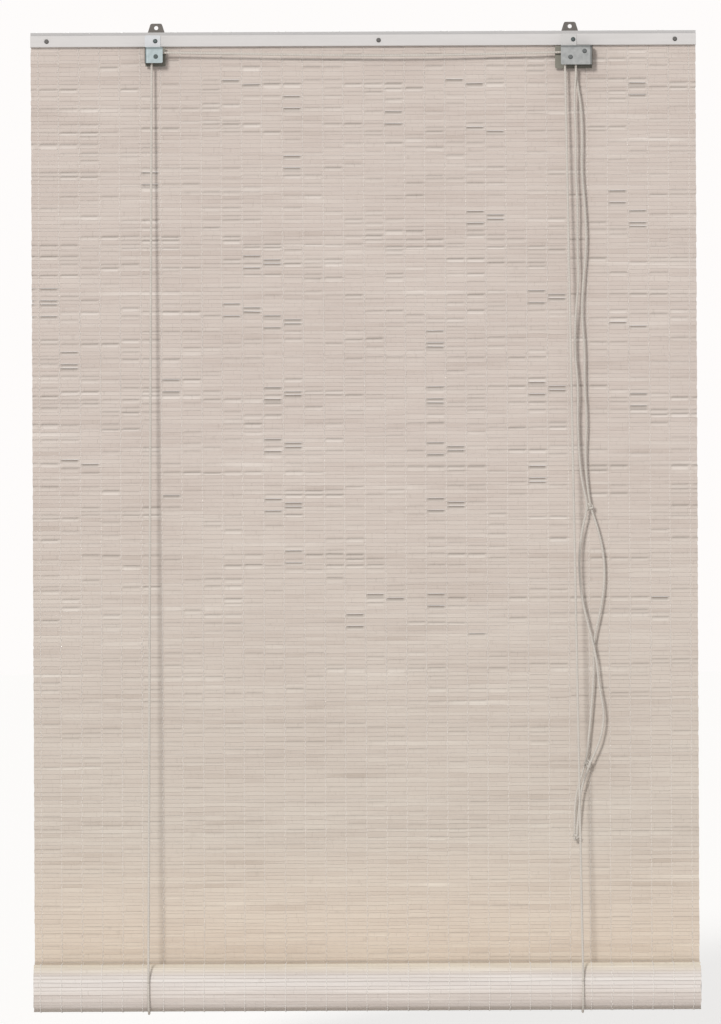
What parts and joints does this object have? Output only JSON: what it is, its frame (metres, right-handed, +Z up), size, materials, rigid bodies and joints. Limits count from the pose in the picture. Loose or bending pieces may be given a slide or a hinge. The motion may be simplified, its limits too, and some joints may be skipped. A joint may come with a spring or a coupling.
{
  "type": "bamboo roll up blind",
  "caption": "Roll up blind of split bamboo slats on a painted head rail, with two lift cords, a pulley bracket, a cord lock with cam, and knotted pull cords; the lower part is rolled.",
  "frame": {"origin": "midway between the two hanging holes, in the middle of the ears' steel", "axes": "+X along the rail to the right as seen from the room, -Y towards the room, +Z up"},
  "size_m": [0.9, 0.0876, 1.34],
  "materials": {
    "painted_wood": "white satin paint",
    "bamboo": "whitewashed split bamboo",
    "bare_wood": "sanded, unpainted",
    "zinc_steel": "zinc plated",
    "dull_steel": "dull plated steel",
    "steel_fasteners": "plated, dulled",
    "wheel_plastic": "moulded",
    "cord": "braided cotton"
  },
  "bodies": {
    "root": {"front_lath": "painted_wood", "rear_lath": "painted_wood", "rail_screws": "steel_fasteners", "strap_screws": "steel_fasteners", "ear_screws": "steel_fasteners", "top_staples": "steel_fasteners", "left_ear": "dull_steel", "right_ear": "dull_steel", "hanging_mat": "bamboo", "pulley_bracket": "zinc_steel", "pulley_rivet": "steel_fasteners", "lock_housing": "zinc_steel", "lock_wheel_rivet": "steel_fasteners", "cam_rivet": "steel_fasteners", "left_lift_cord": "cord", "right_lift_cord": "cord", "left_rear_cord": "cord", "right_rear_cord": "cord", "left_cord_staple": "steel_fasteners", "right_cord_staple": "steel_fasteners", "left_anchor_knot": "cord", "right_anchor_knot": "cord", "cross_cord": "cord", "lock_cord": "cord", "front_pull_cord": "cord", "rear_pull_cord": "cord", "upper_knot": "cord", "lower_knot": "cord", "end_knot": "cord"},
    "cord_sling": {"left_cord_sling": "cord", "right_cord_sling": "cord"},
    "roll": {"rolled_mat": "bamboo", "bottom_rod": "bare_wood"},
    "left_pulley": {"pulley_wheel": "wheel_plastic"},
    "lock_pulley": {"lock_wheel": "wheel_plastic"},
    "cam": {"lock_cam": "zinc_steel"}
  },
  "joints": [
    {"name": "roll_lift", "type": "slide", "parent": "root", "child": "cord_sling", "axis": [0, 0, 1], "range_m": [0, 1.177], "deforming": ["hanging_mat", "left_lift_cord", "right_lift_cord", "left_rear_cord", "right_rear_cord", "front_pull_cord", "rear_pull_cord", "upper_knot", "lower_knot", "end_knot"]},
    {"name": "roll_turn", "type": "hinge", "parent": "cord_sling", "child": "roll", "pos_m": [0, -0.04495, -1.2965], "axis": [1, 0, 0], "continuous": true},
    {"name": "left_pulley_turn", "type": "hinge", "parent": "root", "child": "left_pulley", "pos_m": [-0.28, -0.03025, -0.0405], "axis": [0, 1, 0], "continuous": true},
    {"name": "lock_pulley_turn", "type": "hinge", "parent": "root", "child": "lock_pulley", "pos_m": [0.28, -0.03025, -0.0435], "axis": [0, 1, 0], "continuous": true},
    {"name": "cam_swing", "type": "hinge", "parent": "root", "child": "cam", "pos_m": [0.299, -0.03025, -0.0355], "axis": [0, 1, 0], "range_deg": [0, 35]}
  ],
  "couplings": [
    {"joint": "roll_turn", "follows": "roll_lift", "rad_per_m": -32.03},
    {"joint": "left_pulley_turn", "follows": "roll_lift", "rad_per_m": 350.88},
    {"joint": "lock_pulley_turn", "follows": "roll_lift", "rad_per_m": 270.27}
  ]
}
